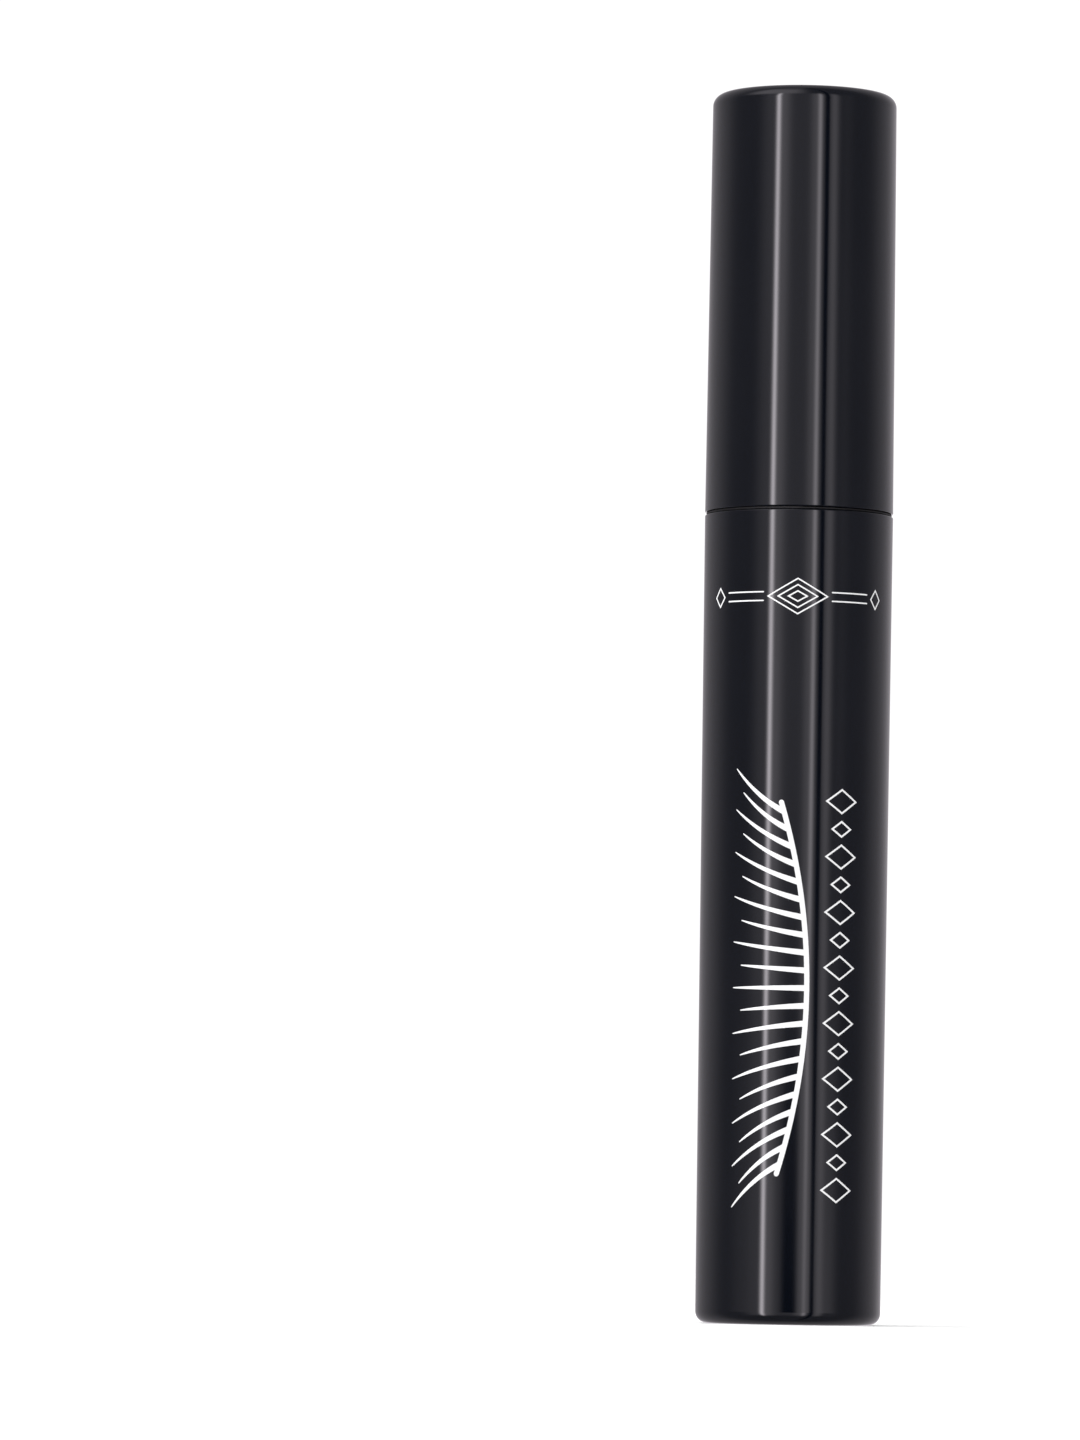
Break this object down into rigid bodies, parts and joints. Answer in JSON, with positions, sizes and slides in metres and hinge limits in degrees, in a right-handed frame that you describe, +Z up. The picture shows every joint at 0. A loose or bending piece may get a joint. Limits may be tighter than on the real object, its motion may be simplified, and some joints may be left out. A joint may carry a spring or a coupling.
{
  "type": "mascara tube",
  "caption": "Slim round mascara: a glossy double-walled bottle with a wiper, and a screw cap that carries the wand with its twisted-wire brush.",
  "frame": {"origin": "centre of the base, on the surface that the closed tube stands on", "axes": "+Z up the tube, from the base to the cap's top; -Y is the front, where the printing is"},
  "size_m": [0.0182, 0.0182, 0.1192],
  "materials": {
    "gloss_black": "injection-moulded, high-gloss black",
    "vial_plastic": "natural translucent polypropylene, satin",
    "wiper_plastic": "natural soft polyethylene",
    "paste": "wet black paste",
    "label_paper": "matt coated sticker, blank",
    "ring_rubber": "matt black",
    "washer_foam": "soft white closed-cell foam",
    "inner_cap_plastic": "satin black",
    "rod_plastic": "satin black",
    "wire_steel": "drawn stainless wire",
    "nylon": "fine black nylon filaments, wet with paste"
  },
  "bodies": {
    "bottle": {"outer_sleeve": "gloss_black", "base_label": "label_paper", "inner_bottle": "vial_plastic", "wiper": "wiper_plastic", "mascara_fill": "paste"},
    "ring": {"shoulder_ring": "ring_rubber"},
    "washer": {"sealing_washer": "washer_foam"},
    "cap": {"cap_shell": "gloss_black", "inner_cap": "inner_cap_plastic", "rod": "rod_plastic", "brush_wire": "wire_steel", "bristles": "nylon"}
  },
  "joints": [
    {"name": "cap_turn", "type": "hinge", "parent": "bottle", "child": "ring", "pos_m": [0, 0, 0.0784], "axis": [0, 0, 1], "range_deg": [0, 420]},
    {"name": "wand_draw", "type": "slide", "parent": "ring", "child": "washer", "axis": [0, 0, 1], "range_m": [0, 0.1], "deforming": ["bristles"]},
    {"name": "cap_rise", "type": "slide", "parent": "washer", "child": "cap", "axis": [0, 0, 1], "range_m": [0, 0.00351]}
  ],
  "couplings": [
    {"joint": "cap_rise", "follows": "cap_turn", "m_per_rad": 0.00047746}
  ]
}
